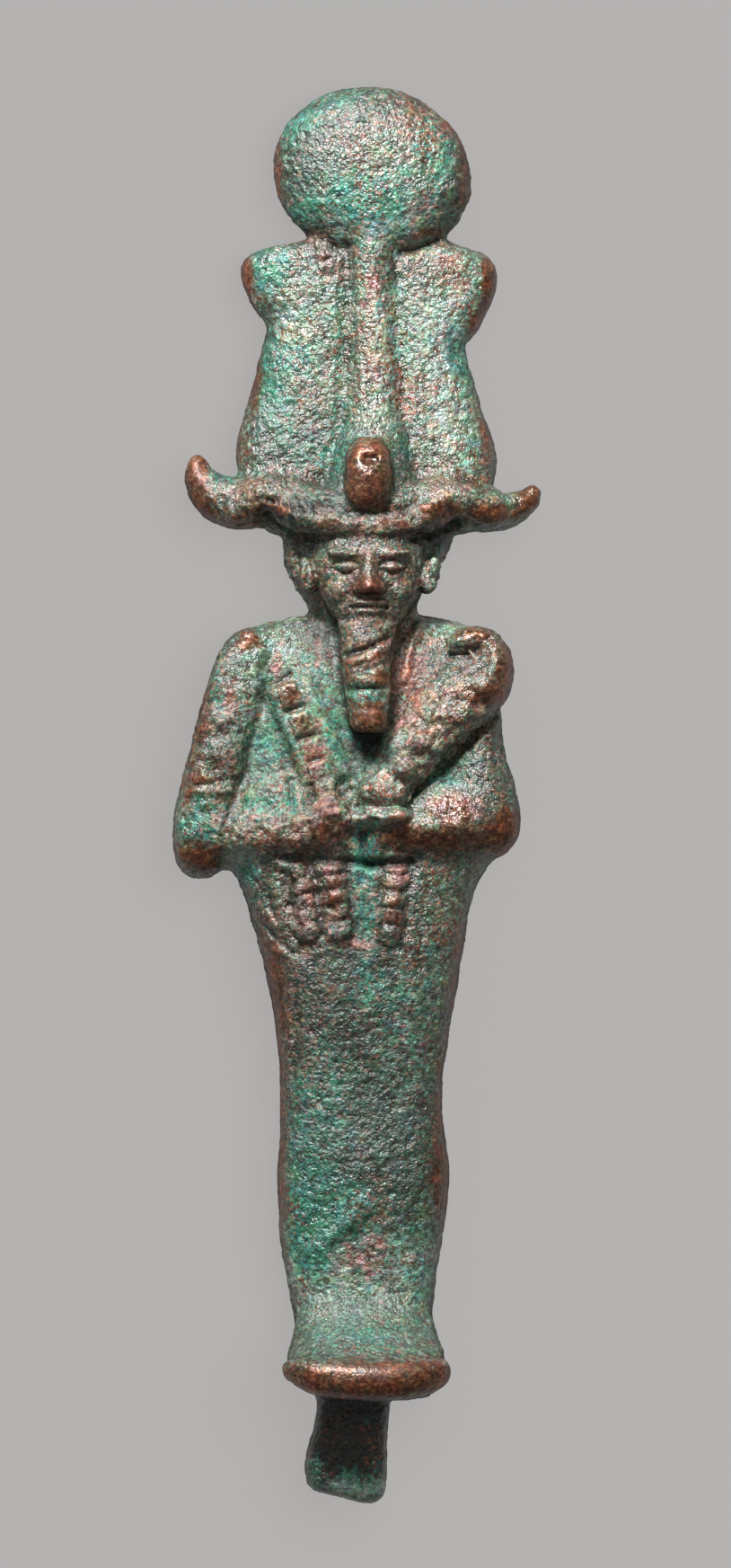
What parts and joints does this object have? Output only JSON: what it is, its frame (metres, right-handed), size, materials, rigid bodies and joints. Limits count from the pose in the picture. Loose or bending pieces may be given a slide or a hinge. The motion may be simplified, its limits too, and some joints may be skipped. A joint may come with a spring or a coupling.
{
  "type": "osiris figure",
  "caption": "Small solid cast bronze figure of a wrapped Osiris with a tall feathered crown, crook and flail, and a tang under its foot plate, lying on its back.",
  "frame": {"origin": "under the middle of the figure's bounding box, on the surface that it lies on", "axes": "+X across the figure, to the viewer's right when its face is seen; +Y along it from the tang to the top of the sun disc; +Z out of its chest, up as it lies on its back"},
  "size_m": [0.0245, 0.0944, 0.0125],
  "materials": {
    "bronze": "cast bronze under a crusty green verdigris, worn to polished brown on its edges and high points"
  },
  "bodies": {
    "root": {"osiris_figure": "bronze"}
  },
  "joints": []
}
